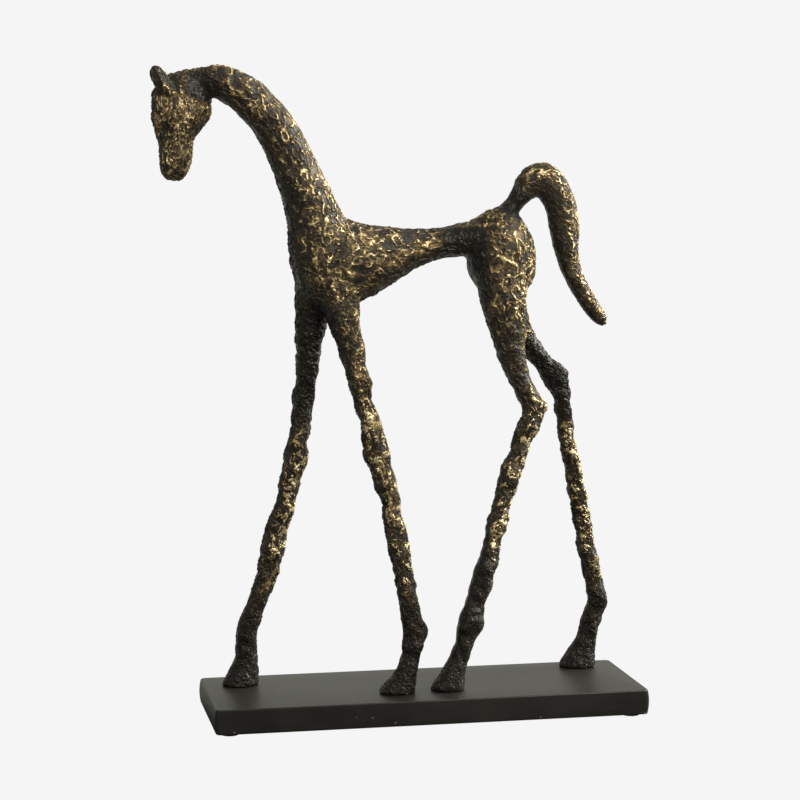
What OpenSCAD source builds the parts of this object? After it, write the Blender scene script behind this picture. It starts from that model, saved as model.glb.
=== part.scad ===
// Standing long-legged horse statue on a flat plinth.
// Nine cast sections are pinned together, the hooves are screwed down from
// below, and the plinth rests on four round pads. Sizes are in millimetres.
// Origin: on the resting plane, under the middle of the overall length (from the
// ear tips to the rear end of the plinth) and the middle of the plinth's width.
// +Z is up, the horse faces -X and its left side is towards -Y.

/* [Overall] */
// height of the horse from hoof soles to the top of the neck arch
horse_height = 464; // [300:2:700]
// girth of legs, neck, body and tail compared with the normal build
girth = 1; // [0.8:0.05:1.2]

/* [Plinth] */
// thickness of the plinth slab
plinth_t = 18.6; // [12:0.2:40]
// room left on the plinth beyond the outermost hoof, front and back
end_margin = 14; // [6:0.5:40]
// room left on the plinth beyond the outermost hoof, at each side
side_margin = 5; // [2:0.5:40]
// how far the two end faces bulge outwards at mid height
end_bulge = 1.2; // [0.4:0.1:3]
// radius of the upright plinth corners
corner_r = 4; // [2:0.5:10]
// bevel along the long top and bottom edges
edge_bevel = 0.8; // [0.4:0.1:2]

/* [Foot pads] */
// diameter of each round foot pad
pad_d = 14; // [8:1:24]
// height of each foot pad
pad_t = 2; // [1:0.5:6]
// distance from the plinth sides to the rim of a foot pad
pad_inset = 4; // [2:0.5:20]

/* [Dowel pins] */
// diameter of the dowels in the neck, body and legs
dowel_d = 6; // [4:0.5:8]
// length of those dowels, half in each section
dowel_l = 28; // [18:1:36]
// diameter of the dowels at the poll and the tail root
small_dowel_d = 5; // [3:0.5:7]
// length of those two dowels, half in each section
small_dowel_l = 20; // [12:1:24]
// gap round a dowel in its bore, on the radius
dowel_gap = 0.05; // [0.02:0.01:0.2]
// gap left past each end of a dowel
dowel_end_gap = 0.5; // [0.2:0.1:2]

/* [Hoof screws] */
// diameter of the screw that holds each hoof
screw_d = 5; // [3:0.5:6]
// depth to which each screw enters its hoof
screw_grip = 13; // [8:1:16]
// diameter of the screw heads
head_d = 8.5; // [6:0.5:12]
// height of the screw heads
head_h = 5; // [3:0.5:6]
// key size of the six-sided socket in a screw head, across flats
key_w = 4; // [2:0.5:5]
// thickness of the washer under a screw head
washer_t = 1; // [0.6:0.1:2]
// how much wider the washer is than the screw head
washer_rim = 1.5; // [0.5:0.25:4]
// gap round a screw in the plinth and in the washer, on the radius
screw_gap = 0.25; // [0.1:0.05:0.6]
// gap between a screw and its tapped bore in the hoof, on the radius
thread_gap = 0.05; // [0.02:0.01:0.2]
// gap between a washer and the wall of its counterbore, on the radius
counterbore_gap = 0.75; // [0.3:0.05:2]
// how far a screw head stays above the underside of the plinth
head_sink = 1; // [0.5:0.25:4]

/* [Hidden] */
k = horse_height / 464;
top_z = pad_t + plinth_t;
plinth_l = 2 * (150 * k + end_margin);
plinth_w = 2 * (48 * k + side_margin);
plinth_x = (199 * k - plinth_l / 2) / 2;    // middle of the plinth, from the origin
washer_d = head_d + 2 * washer_rim;
bore_depth = head_sink + head_h + washer_t;
sides = 16;    // points round each casting
steps = 2;     // rings between two stations of a casting

// Stations down each casting: x from the middle of the plinth, y, height above
// the plinth, half size along the horse, half size across it.
neck_path = [
    [-180, 2, 449.5, 9.5, 9], [-170, 2, 450.5, 10.2, 9.3], [-160, 2, 451.6, 10.9, 10],
    [-150, 2, 451.6, 12.6, 11], [-141.5, 2, 448, 13.2, 12], [-132, 2, 442.5, 14.2, 12.5],
    [-122.5, 2, 434, 14.4, 13], [-112, 2, 422, 15, 14], [-104.5, 2, 409.5, 15.8, 15],
    [-96.5, 2, 392.5, 16.6, 16], [-88.5, 2, 373, 18, 17.4], [-82, 2, 355, 20.4, 19],
    [-77.2, 1.5, 338, 24.2, 20.5], [-74.6, 1, 321, 24.8, 21], [-73.7, 1, 304, 20.6, 19.5],
    [-73, 1, 292, 15, 15], [-72.5, 1, 284, 8, 8]];
neck_joint = 10;
poll_joint = 2;
body_path = [
    [-88, 1, 321, 8, 10], [-76, 1, 321, 26, 19], [-62, 1, 321, 31.5, 21],
    [-48, 1, 319.8, 29.5, 20.5], [-32, 1, 322.2, 24.5, 19], [-17, 1.5, 326.2, 19, 16.5],
    [-3, 2, 330.2, 14.3, 13.5], [12, 2, 333.2, 11.8, 12], [24, 2.5, 334.8, 12.1, 12.2],
    [34, 2.5, 336, 13.2, 13.5], [44, 2.5, 334.5, 18, 16], [54, 2.5, 332, 19, 17]];
loin_joint = 8;
head_path = [
    [-178, 2, 457.5, 8, 7], [-178.5, 2, 453.5, 14.5, 10.5], [-178.2, 2, 448, 19, 12.6],
    [-177.8, 2, 441, 21.8, 14], [-177.8, 2, 433, 22, 14.4], [-178.6, 2, 425.5, 21.4, 14],
    [-180.8, 2, 418.5, 18.2, 13.2], [-182.8, 2, 411, 13.8, 11.8], [-182.4, 2, 404, 12.2, 10.6],
    [-182.4, 2, 396, 12.1, 10.4], [-183, 2, 389, 10.8, 9.6], [-183.6, 2, 384, 8.2, 7.6],
    [-183, 2, 380.5, 4.5, 4.5]];
head_y = 2;     // middle plane of the head
ear_lag = 2.5;  // how far the right ear sits behind the left one
ear_path = [
    [-197, -9.2, 462, 2.2, 1.8], [-196.4, -9, 459.2, 4.9, 3.6], [-195, -8.5, 454.5, 6.5, 4.6],
    [-191, -7.5, 447, 7, 5], [-186, -6, 440, 5, 4.5]];
pelvis_path = [
    [64, 2.5, 361, 5, 5], [62, 2.5, 358.5, 10, 9], [59, 2.5, 354, 15.5, 13.5],
    [58.5, 2.5, 347.5, 19.8, 18], [60, 2.5, 339.5, 23.8, 21], [60.4, 2.5, 330.5, 26, 22.6],
    [60.6, 2.5, 321, 26.5, 23.2], [61.4, 2.5, 312, 25.6, 23], [62, 2.5, 303, 21.4, 21],
    [63, 2.5, 295, 16, 17], [65, 2.5, 289, 10, 11], [66, 2.5, 285.5, 5, 6]];
tail_path = [
    [57, 2.5, 343, 9, 9], [63, 2.5, 353, 8, 8], [71, 2.5, 363, 7, 7.2],
    [77.5, 2.5, 372, 9.4, 8.2], [84.5, 2.5, 378.5, 12.4, 9], [92.5, 2.5, 380.2, 13.8, 9.6],
    [99.2, 2.5, 375.5, 13, 10], [104.6, 2.5, 366, 12.2, 10], [108.2, 2.5, 355, 12, 9.8],
    [110, 2.5, 342, 11.2, 9.4], [111, 2.5, 331.5, 10, 8.8], [112.9, 2.5, 321, 8.6, 8.2],
    [117, 2.5, 308.8, 7.6, 7.6], [122.5, 2.5, 298.2, 7, 7.2], [129.2, 2.5, 287.8, 6.6, 6.8],
    [135.2, 2.5, 280, 6, 6], [139.8, 2.5, 274.2, 4.8, 4.4], [142.4, 2.5, 270.8, 2.2, 2.2]];
tail_joint = 2;
foreleg_right_path = [
    [-80, 5, 312, 15, 13], [-82, 7.5, 290, 13, 11.6], [-82.5, 9, 273, 12, 10.6],
    [-84, 10, 261, 10.4, 9.6], [-84.5, 11, 247, 9, 8.8], [-86.5, 12, 232, 8, 8],
    [-88, 13, 217, 8.1, 8], [-89.5, 13.5, 202, 7.7, 7.6], [-92.5, 14.5, 187, 7.8, 7.6],
    [-94, 15.5, 172, 9.3, 8.6], [-98, 16.5, 157, 8.1, 7.8], [-100.5, 17.5, 141, 8, 7.6],
    [-105, 18.5, 126, 8.7, 8], [-109.5, 19.5, 111, 8.7, 8], [-113, 20.5, 96, 8.3, 7.6],
    [-116.5, 21.5, 80, 7.7, 7.4], [-121.5, 22.5, 65, 7.3, 7], [-125, 23, 56, 8.4, 7.6],
    [-128, 23.5, 48, 9, 8], [-130.3, 24, 40, 7.8, 7.4], [-130.4, 24.5, 30, 7.7, 7.4],
    [-131, 25, 20, 8.6, 8.2], [-132.8, 25, 11, 11.6, 9.8], [-135, 25, 3, 13.8, 11.6],
    [-135.6, 25, 0, 14.2, 12]];
foreleg_left_path = [
    [-66, -3, 312, 20, 15], [-63.5, -7, 290, 14.6, 13], [-61, -8.5, 274, 11.8, 11.4],
    [-57, -9, 262, 10.7, 10.2], [-54, -10, 248, 9.3, 9.2], [-50.5, -11, 233, 8.7, 8.6],
    [-47.5, -12, 219, 7.6, 7.8], [-43, -12.5, 204, 7.6, 7.6], [-39.5, -13.5, 189, 9.4, 8.4],
    [-36.5, -14, 174, 10, 8.8], [-31.5, -15, 159, 8, 7.8], [-27.5, -16, 144, 7.6, 7.4],
    [-25, -17, 129, 7.4, 7.2], [-22.5, -17.5, 114, 8, 7.6], [-19.5, -18.5, 99, 6.9, 7],
    [-17.5, -19.5, 84, 7.4, 7.2], [-15.5, -20, 69, 7.1, 7], [-13.5, -21, 60, 7.4, 7],
    [-11, -21, 52, 8.7, 7.6], [-10, -21.5, 45, 9, 7.8], [-11, -22, 37.5, 8.2, 7.6],
    [-12.5, -22.5, 30, 7.7, 7.4], [-14.5, -23, 22.5, 7.8, 7.8], [-17.5, -23, 15, 8.9, 8.8],
    [-21, -23, 8, 11.6, 10.6], [-23.6, -23, 2, 13.5, 11.8], [-24, -23, 0, 13.8, 12]];
hindleg_right_path = [
    [64, 8, 318, 16, 14], [68, 10.5, 290, 13.5, 12.4], [74, 12.5, 274, 11.6, 11],
    [81.5, 14, 261, 10.6, 10], [91.5, 16, 248, 10, 9.2], [100.5, 17, 241, 12, 8.8],
    [106, 17.5, 234, 11.6, 8.8], [110.5, 18.5, 223, 8.8, 8.2], [114.4, 20, 209, 7, 7.2],
    [117.2, 21.5, 193, 6.6, 6.8], [120, 23, 175, 6.2, 6.6], [123.5, 25, 157, 6.4, 6.6],
    [127.5, 26.5, 141, 7, 6.8], [131.5, 28, 125, 7.1, 6.8], [135, 29.5, 109, 7.2, 7],
    [138.2, 31, 93, 7.1, 7], [142, 32.5, 77, 6.8, 6.8], [145, 33.5, 65, 7.2, 7],
    [148.3, 34.5, 54, 8.8, 7.6], [146.5, 35.5, 46, 8.8, 7.8], [143.5, 36, 38, 8.1, 7.6],
    [141, 36, 29, 7.9, 7.8], [138.5, 36, 21, 8.7, 8.6], [135, 36, 12, 11.4, 10],
    [132.3, 36, 3, 13.7, 11.8], [131.5, 36, 0, 14, 12]];
hindleg_left_path = [
    [59, -5, 312, 21, 16], [59.8, -7.5, 291, 17.6, 14], [61.6, -8.5, 276, 15.4, 12.5],
    [64.2, -9, 261, 12.8, 11.2], [67.2, -9.5, 246, 10.2, 10], [72.8, -10, 232, 8.4, 8.8],
    [77.5, -10.5, 222, 9, 8.4], [83.3, -11, 213, 10.2, 8.4], [82, -11.5, 205, 9, 8.2],
    [77.5, -12, 193, 8.2, 7.8], [72, -13, 179, 7.9, 7.6], [65.5, -13.5, 164, 8.4, 7.6],
    [61, -14.5, 149, 7.3, 7.2], [56.5, -15, 134, 7.6, 7.4], [52.5, -16, 119, 7.6, 7.4],
    [48.5, -16.5, 104, 7.3, 7.2], [44.5, -17.5, 89, 8, 7.6], [40, -18, 74, 8.1, 7.6],
    [36, -19, 64, 8.3, 7.6], [34, -19.5, 55, 9.3, 8], [32, -20, 46, 10, 8.2],
    [29, -20, 37, 7.7, 7.4], [26, -20.5, 28, 7.2, 7.2], [22.5, -21, 20.5, 7.7, 7.8],
    [19, -21, 13, 9.7, 9.2], [16.6, -21, 6, 11.7, 10.8], [15.2, -21, 0, 13.5, 12]];

// legs in one order: path, station of the joint, x of the hoof screw
legs = [
    [foreleg_left_path, 3, -21.5], [foreleg_right_path, 3, -133.5],
    [hindleg_left_path, 3, 17.5], [hindleg_right_path, 3, 134]];

function unit(v) = v / norm(v);
function pos(s) = [s[0], s[1], s[2]];
// station in the finished frame: scaled to the chosen height and girth
function placed(s) = [s[0] * k + plinth_x, s[1] * k, s[2] * k + top_z, s[3] * k * girth, s[4] * k * girth];
// smooth curve through the stations
function curve(a, b, c, d, t) = 0.5 * (2 * b + (c - a) * t
    + (2 * a - 5 * b + 4 * c - d) * t * t + (3 * b - a - 3 * c + d) * t * t * t);
function smooth(P) = let (n = len(P) - 1) [for (i = [0:n]) for (j = [0:(i < n ? steps - 1 : 0)])
    j == 0 ? placed(P[i])
    : placed(curve(P[max(i - 1, 0)], P[i], P[i + 1], P[min(i + 2, n)], j / steps))];
// direction of the path at ring i
function along(Q, i) = unit(pos(Q[min(i + 1, len(Q) - 1)]) - pos(Q[max(i - 1, 0)]));
// one ring: ellipse about station s, square to direction t
function ring(s, t) = let (side = unit([0, 1, 0] - t[1] * t), up = cross(side, t))
    [for (a = [0:sides - 1]) pos(s) + s[3] * cos(a * 360 / sides) * up
        + s[4] * sin(a * 360 / sides) * side];

// Solid through the rings of path P, from ring "first" to ring "last".
// turn: "path" keeps rings square to the path, "level" keeps them flat,
// "upright" keeps them square to the length of the horse.
module loft(P, turn, first = 0, last = 1000) {
    Q = smooth(P);
    e = min(last, len(Q) - 1);
    n = e - first;
    points = [for (i = [first:e]) each ring(Q[i], turn == "level" ? [0, 0, -1]
        : turn == "upright" ? [1, 0, 0] : along(Q, i))];
    faces = concat(
        [[for (a = [0:sides - 1]) a]],
        [[for (a = [sides - 1:-1:0]) n * sides + a]],
        [for (i = [0:n - 1]) for (a = [0:sides - 1]) let (b = (a + 1) % sides, o = i * sides)
            each [[o + a, o + sides + a, o + sides + b], [o + a, o + sides + b, o + b]]]);
    polyhedron(points = points, faces = faces);
}

// place children at a station of path P, with their +Z along the path
module at_joint(P, station) {
    Q = smooth(P);
    t = along(Q, station * steps);
    translate(pos(Q[station * steps])) rotate([0, acos(t[2]), atan2(t[1], t[0])]) children();
}
module pin(d, l) cylinder(d = d, h = l, center = true, $fn = 48);
module pin_bore(d, l) pin(d + 2 * dowel_gap, l + 2 * dowel_end_gap);

module poll_pin(bore = false) at_joint(neck_path, poll_joint)
    if (bore) pin_bore(small_dowel_d, small_dowel_l); else pin(small_dowel_d, small_dowel_l);
module neck_base_pin(bore = false) at_joint(neck_path, neck_joint)
    if (bore) pin_bore(dowel_d, dowel_l); else pin(dowel_d, dowel_l);
module loin_pin(bore = false) at_joint(body_path, loin_joint)
    if (bore) pin_bore(dowel_d, dowel_l); else pin(dowel_d, dowel_l);
module tail_pin(bore = false) at_joint(tail_path, tail_joint)
    if (bore) pin_bore(small_dowel_d, small_dowel_l); else pin(small_dowel_d, small_dowel_l);
module leg_pin(leg, bore = false) at_joint(leg[0], leg[1])
    if (bore) pin_bore(dowel_d, dowel_l); else pin(dowel_d, dowel_l);
module leg_stub(leg) loft(leg[0], "level", 0, leg[1] * steps);

// hoof screw position, at the plinth top
function hoof_at(leg) = let (s = placed(leg[0][len(leg[0]) - 1])) [leg[2] * k + plinth_x, s[1], top_z];
function head_z() = pad_t + head_sink;

module head() color([0.30, 0.23, 0.14]) difference() {
    union() {
        loft(head_path, "level");
        loft(neck_path, "path", 0, poll_joint * steps);
        loft(ear_path, "level");
        translate([ear_lag * k, 2 * head_y * k, 0]) mirror([0, 1, 0]) loft(ear_path, "level");
    }
    loft(neck_path, "path", poll_joint * steps, neck_joint * steps);
    poll_pin(true);
}
module neck() color([0.30, 0.23, 0.14]) difference() {
    loft(neck_path, "path", poll_joint * steps, neck_joint * steps);
    poll_pin(true);
    neck_base_pin(true);
}
module trunk() color([0.30, 0.23, 0.14]) difference() {
    union() {
        loft(neck_path, "path", neck_joint * steps);
        loft(body_path, "upright", 0, loin_joint * steps);
        for (i = [0, 1]) leg_stub(legs[i]);
    }
    neck_base_pin(true);
    loin_pin(true);
    for (i = [0, 1]) leg_pin(legs[i], true);
}
module hindquarters() color([0.30, 0.23, 0.14]) difference() {
    union() {
        loft(body_path, "upright", loin_joint * steps);
        loft(pelvis_path, "level");
        loft(tail_path, "path", 0, tail_joint * steps);
        for (i = [2, 3]) leg_stub(legs[i]);
    }
    loin_pin(true);
    tail_pin(true);
    for (i = [2, 3]) leg_pin(legs[i], true);
}
module tail() color([0.30, 0.23, 0.14]) difference() {
    loft(tail_path, "path", tail_joint * steps);
    tail_pin(true);
}
module leg_casting(leg) color([0.26, 0.20, 0.13]) difference() {
    loft(leg[0], "level", leg[1] * steps);
    leg_pin(leg, true);
    translate(hoof_at(leg)) translate([0, 0, -1])
        cylinder(d = screw_d + 2 * thread_gap, h = 1 + screw_grip + dowel_end_gap, $fn = 48);
}

// cap screw with a six-sided socket, standing head down
module screw(leg) color([0.55, 0.55, 0.56]) translate([hoof_at(leg)[0], hoof_at(leg)[1], head_z()])
    difference() {
        union() {
            cylinder(d = head_d, h = head_h, $fn = 64);
            cylinder(d = screw_d, h = top_z - head_z() + screw_grip, $fn = 48);
        }
        translate([0, 0, -1]) cylinder(d = key_w / cos(30), h = 1 + head_h * 0.55, $fn = 6);
    }
module washer(leg) color([0.62, 0.62, 0.63])
    translate([hoof_at(leg)[0], hoof_at(leg)[1], head_z() + head_h]) difference() {
        cylinder(d = washer_d, h = washer_t, $fn = 64);
        translate([0, 0, -1]) cylinder(d = screw_d + 2 * screw_gap, h = washer_t + 2, $fn = 48);
    }

// slab seen from the front: flat top and bottom, bulging ends
module plinth_profile() {
    r = (plinth_t * plinth_t / 4 + end_bulge * end_bulge) / (2 * end_bulge);
    intersection() {
        union() {
            translate([-plinth_l / 2 + r, -plinth_w, pad_t])
                cube([plinth_l - 2 * r, 2 * plinth_w, plinth_t]);
            for (s = [-1, 1]) translate([s * (plinth_l / 2 - r), 0, pad_t + plinth_t / 2])
                rotate([90, 0, 0]) cylinder(r = r, h = 2 * plinth_w, center = true, $fn = 180);
        }
        translate([-plinth_l, -plinth_w, pad_t]) cube([2 * plinth_l, 2 * plinth_w, plinth_t]);
    }
}
// slab seen from above, with rounded corners
module plinth_plan() {
    l = plinth_l - 2 * corner_r;
    w = plinth_w - 2 * corner_r;
    translate([-l / 2, -plinth_w / 2, 0]) cube([l, plinth_w, top_z + 1]);
    translate([-plinth_l / 2, -w / 2, 0]) cube([plinth_l, w, top_z + 1]);
    for (x = [-1, 1]) for (y = [-1, 1]) translate([x * l / 2, y * w / 2, 0])
        cylinder(r = corner_r, h = top_z + 1, $fn = 64);
}
module plinth() color([0.07, 0.07, 0.065]) difference() {
    translate([plinth_x, 0, 0]) intersection() {
        plinth_profile();
        plinth_plan();
    }
    for (z = [pad_t, top_z]) for (y = [-1, 1]) translate([plinth_x, y * plinth_w / 2, z])
        rotate([45, 0, 0]) cube([plinth_l + 2, edge_bevel * sqrt(2), edge_bevel * sqrt(2)], center = true);
    for (leg = legs) translate([hoof_at(leg)[0], hoof_at(leg)[1], 0]) {
        cylinder(d = screw_d + 2 * screw_gap, h = top_z + 1, $fn = 48);
        cylinder(d = washer_d + 2 * counterbore_gap, h = pad_t + bore_depth, $fn = 64);
    }
}
module pad(x, y) color([0.05, 0.05, 0.05])
    translate([plinth_x + x * (plinth_l / 2 - end_bulge - pad_inset - pad_d / 2),
               y * (plinth_w / 2 - pad_inset - pad_d / 2), 0]) cylinder(d = pad_d, h = pad_t, $fn = 64);

head();
neck();
trunk();
hindquarters();
tail();
leg_casting(legs[0]);  // foreleg_left
leg_casting(legs[1]);  // foreleg_right
leg_casting(legs[2]);  // hindleg_left
leg_casting(legs[3]);  // hindleg_right
color([0.6, 0.6, 0.6]) poll_pin();  // dowel_poll
color([0.6, 0.6, 0.6]) neck_base_pin();  // dowel_neck_base
color([0.6, 0.6, 0.6]) loin_pin();  // dowel_loin
color([0.6, 0.6, 0.6]) tail_pin();  // dowel_tail
color([0.6, 0.6, 0.6]) leg_pin(legs[0]);  // dowel_foreleg_left
color([0.6, 0.6, 0.6]) leg_pin(legs[1]);  // dowel_foreleg_right
color([0.6, 0.6, 0.6]) leg_pin(legs[2]);  // dowel_hindleg_left
color([0.6, 0.6, 0.6]) leg_pin(legs[3]);  // dowel_hindleg_right
screw(legs[0]);  // screw_foreleg_left
screw(legs[1]);  // screw_foreleg_right
screw(legs[2]);  // screw_hindleg_left
screw(legs[3]);  // screw_hindleg_right
washer(legs[0]);  // washer_foreleg_left
washer(legs[1]);  // washer_foreleg_right
washer(legs[2]);  // washer_hindleg_left
washer(legs[3]);  // washer_hindleg_right
plinth();
pad(-1, -1);  // pad_front_left
pad(-1, 1);  // pad_front_right
pad(1, -1);  // pad_rear_left
pad(1, 1);  // pad_rear_right
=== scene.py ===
"""Bronze horse statue on a black plinth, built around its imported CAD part.

The cast sections get one continuous, finger-modelled skin, which is cut again at
the joints of the castings. Plinth, foot pads, hoof screws and washers are rebuilt
with their real edges. Sizes are in metres, in the frame of the CAD part.
"""

import math

import bmesh
import bpy
import numpy as np
from mathutils import Matrix, Vector
from mathutils.bvhtree import BVHTree


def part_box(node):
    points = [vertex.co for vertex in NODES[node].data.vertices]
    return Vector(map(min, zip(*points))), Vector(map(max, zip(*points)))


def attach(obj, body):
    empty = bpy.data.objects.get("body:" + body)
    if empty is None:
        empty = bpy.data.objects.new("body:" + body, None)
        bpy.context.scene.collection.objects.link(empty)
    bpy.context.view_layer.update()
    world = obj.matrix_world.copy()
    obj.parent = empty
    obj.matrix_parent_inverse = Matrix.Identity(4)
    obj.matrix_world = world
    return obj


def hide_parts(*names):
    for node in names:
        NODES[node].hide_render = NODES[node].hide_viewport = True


bl_info = {
    "name": "Bronze horse statue",
    "version": (1, 0, 0),
    "blender": (4, 5, 0),
    "location": "3D View > Sidebar > Statue",
    "description": "Builds a patinated horse statue with gold-rubbed relief on a black plinth",
    "category": "Add Mesh",
}

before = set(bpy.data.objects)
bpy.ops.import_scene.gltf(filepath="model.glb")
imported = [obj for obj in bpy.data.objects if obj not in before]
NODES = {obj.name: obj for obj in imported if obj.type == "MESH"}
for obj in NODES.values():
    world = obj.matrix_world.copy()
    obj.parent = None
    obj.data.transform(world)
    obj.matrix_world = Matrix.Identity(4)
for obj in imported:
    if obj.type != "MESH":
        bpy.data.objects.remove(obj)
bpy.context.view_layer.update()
MM = 0.001
BODY = "root"

LEGS = ("foreleg_left", "foreleg_right", "hindleg_left", "hindleg_right")
CASTINGS = ("head", "neck", "trunk", "hindquarters", "tail") + LEGS
DOWELS = ("poll", "neck_base", "loin", "tail") + LEGS
PADS = ("front_left", "front_right", "rear_left", "rear_right")

PLINTH_LOW, PLINTH_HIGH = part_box("plinth")
PLINTH_TOP = PLINTH_HIGH.z
# middle of the plinth's top, from which places on the horse are measured
ORIGIN = np.array([(PLINTH_LOW.x + PLINTH_HIGH.x) / 2, (PLINTH_LOW.y + PLINTH_HIGH.y) / 2,
                   PLINTH_TOP])
LEG_TOP = 262 * MM


# ---------------------------------------------------------------- settings

def length_setting(name, description, default):
    return bpy.props.FloatProperty(
        name=name, description=description, default=default, unit="LENGTH", precision=5)


def colour_setting(name, description, default):
    return bpy.props.FloatVectorProperty(
        name=name, description=description, default=default, subtype="COLOR", size=3, min=0, max=1)


class StatueSkin(bpy.types.PropertyGroup):
    """Sizes of the modelled surface of the castings."""

    grid: length_setting("Grid", "Spacing of the first even mesh over the castings", 1.2 * MM)
    blend_passes: bpy.props.IntProperty(
        name="Blend passes", description="How softly limbs run into the body", default=7)
    lump_size: length_setting("Lump size", "Distance between the thumbed swellings", 13 * MM)
    lump_height: length_setting("Lump height", "Height of the thumbed swellings", 4.2 * MM)
    cell_size: length_setting("Cell size", "Size of the hollows between the ridges", 6.2 * MM)
    ridge_height: length_setting("Ridge height", "Height of the bark-like ridges", 1.05 * MM)
    ridge_width: bpy.props.FloatProperty(
        name="Ridge width", description="How broad the ridges are against the hollows",
        default=0.085, subtype="FACTOR", min=0.01, max=0.3)
    wander: length_setting("Wander", "How far the ridges stray from straight lines", 2.0 * MM)
    grain_height: length_setting("Grain height", "Height of the rough grain all over", 0.35 * MM)


class StatueBronze(bpy.types.PropertyGroup):
    """Colours of the patina and the rubbed gold."""

    recess: colour_setting("Recess", "Near-black patina in the hollows", (0.015, 0.012, 0.0085))
    patina: colour_setting("Patina", "Brown patina of the open surface", (0.070, 0.052, 0.027))
    haze: colour_setting("Gold haze", "Thin gold wiped over the patina", (0.25, 0.175, 0.08))
    rust: colour_setting("Rust brown", "Warm brown patches near the hooves", (0.040, 0.022, 0.012))
    gold: colour_setting("Gold", "Gold rubbed on the ridges", (0.48, 0.33, 0.13))
    # pale gold on the ridge tops: partly thicker gold, partly a painted highlight
    pale_gold_and_highlight: colour_setting(
        "Pale gold", "Brighter gold where the rubbing is thick", (0.84, 0.69, 0.41))


class StatuePlinth(bpy.types.PropertyGroup):
    """Edges and colour of the plinth."""

    edge_radius: length_setting("Edge radius", "Rounding along the edges of the slab", 0.9 * MM)
    colour: colour_setting("Black", "Satin black paint", (0.013, 0.0125, 0.0105))


class StatueStage(bpy.types.PropertyGroup):
    """Camera and light."""

    azimuth: bpy.props.FloatProperty(
        name="Azimuth", description="Direction of the view; 0 looks along +Y",
        default=math.radians(-11.34), subtype="ANGLE")
    elevation: bpy.props.FloatProperty(
        name="Elevation", description="Height of the view above the horizon",
        default=math.radians(5.97), subtype="ANGLE")
    distance: bpy.props.FloatProperty(
        name="Distance", description="From the aimed point to the camera",
        default=1.6879, unit="LENGTH")
    aim: bpy.props.FloatVectorProperty(
        name="Aim", description="Point at the middle of the picture",
        default=(0.0059, 0.0271, 0.2346), subtype="XYZ", size=3)
    lens: bpy.props.FloatProperty(
        name="Lens", description="Focal length in millimetres on a 36 mm sensor", default=100)


# ---------------------------------------------------------------- node helpers

class Graph:
    """Adds nodes to a node tree and wires them together."""

    def __init__(self, tree):
        self.tree = tree

    def add(self, kind, inputs=None, **settings):
        made = self.tree.nodes.new(kind)
        for key, value in settings.items():
            setattr(made, key, value)
        for key, value in (inputs or {}).items():
            self.feed(made.inputs[key], value)
        return made

    def feed(self, socket, value):
        if isinstance(value, bpy.types.NodeSocket):
            self.tree.links.new(value, socket)
        else:
            socket.default_value = value

    def math(self, operation, *values, clamp=False):
        made = self.add("ShaderNodeMath", dict(enumerate(values)), operation=operation,
                        use_clamp=clamp)
        return made.outputs[0]

    def plus(self, a, b, clamp=False):
        return self.math("ADD", a, b, clamp=clamp)

    def minus(self, a, b):
        return self.math("SUBTRACT", a, b)

    def times(self, a, b):
        return self.math("MULTIPLY", a, b)

    def most(self, a, b):
        return self.math("MAXIMUM", a, b)

    def vector(self, operation, *values):
        made = self.add("ShaderNodeVectorMath", dict(enumerate(values)), operation=operation)
        return made.outputs[0]

    def scaled(self, vector, factor):
        made = self.add("ShaderNodeVectorMath", {0: vector, "Scale": factor}, operation="SCALE")
        return made.outputs[0]

    def noise(self, vector, scale, detail=2.0, rough=0.5, colour=False):
        made = self.add("ShaderNodeTexNoise", {
            "Vector": vector, "Scale": scale, "Detail": detail, "Roughness": rough})
        return made.outputs[1 if colour else 0]

    def dots(self, vector, scale):
        """Distance to the nearest of scattered dots, and that dot's own random number."""
        made = self.add("ShaderNodeTexVoronoi", {"Vector": vector, "Scale": scale})
        own = self.add("ShaderNodeSeparateColor", {"Color": made.outputs["Color"]})
        return made.outputs["Distance"], own.outputs[0]

    def step(self, value, low, high, to_low=0.0, to_high=1.0):
        made = self.add("ShaderNodeMapRange", {
            "Value": value, "From Min": low, "From Max": high, "To Min": to_low, "To Max": to_high},
            interpolation_type="SMOOTHSTEP")
        return made.outputs[0]

    def blend(self, factor, a, b):
        made = self.add("ShaderNodeMix", {"Factor": factor}, data_type="RGBA")
        for name, value in (("A", a), ("B", b)):
            socket = [s for s in made.inputs if s.name == name and s.type == "RGBA"][0]
            if isinstance(value, tuple) and len(value) == 3:
                value = (*value, 1.0)
            self.feed(socket, value)
        return [s for s in made.outputs if s.type == "RGBA"][0]

    def mixed(self, factor, a, b):
        """Number between a and b."""
        return self.plus(a, self.times(factor, self.minus(b, a)))


def shape_tree(name, inputs):
    """New geometry tree with a mesh in, a mesh out and one named number for each size."""
    tree = bpy.data.node_groups.new(name, "GeometryNodeTree")
    tree.interface.new_socket("Geometry", in_out="INPUT", socket_type="NodeSocketGeometry")
    for label, kind in inputs:
        tree.interface.new_socket(label, in_out="INPUT", socket_type=kind)
    tree.interface.new_socket("Geometry", in_out="OUTPUT", socket_type="NodeSocketGeometry")
    graph = Graph(tree)
    entry = graph.add("NodeGroupInput")
    return tree, graph, entry


def finish_tree(graph, geometry, material):
    """Closes a geometry tree: instances made real, material set, then out."""
    real = graph.add("GeometryNodeRealizeInstances", {"Geometry": geometry})
    coat = graph.add("GeometryNodeSetMaterial", {"Geometry": real.outputs[0], "Material": material})
    graph.add("NodeGroupOutput", {0: coat.outputs[0]})


def placed(name, data):
    """New object in the scene that shows the data."""
    made = bpy.data.objects.new(name, data)
    bpy.context.scene.collection.objects.link(made)
    return made


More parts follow.
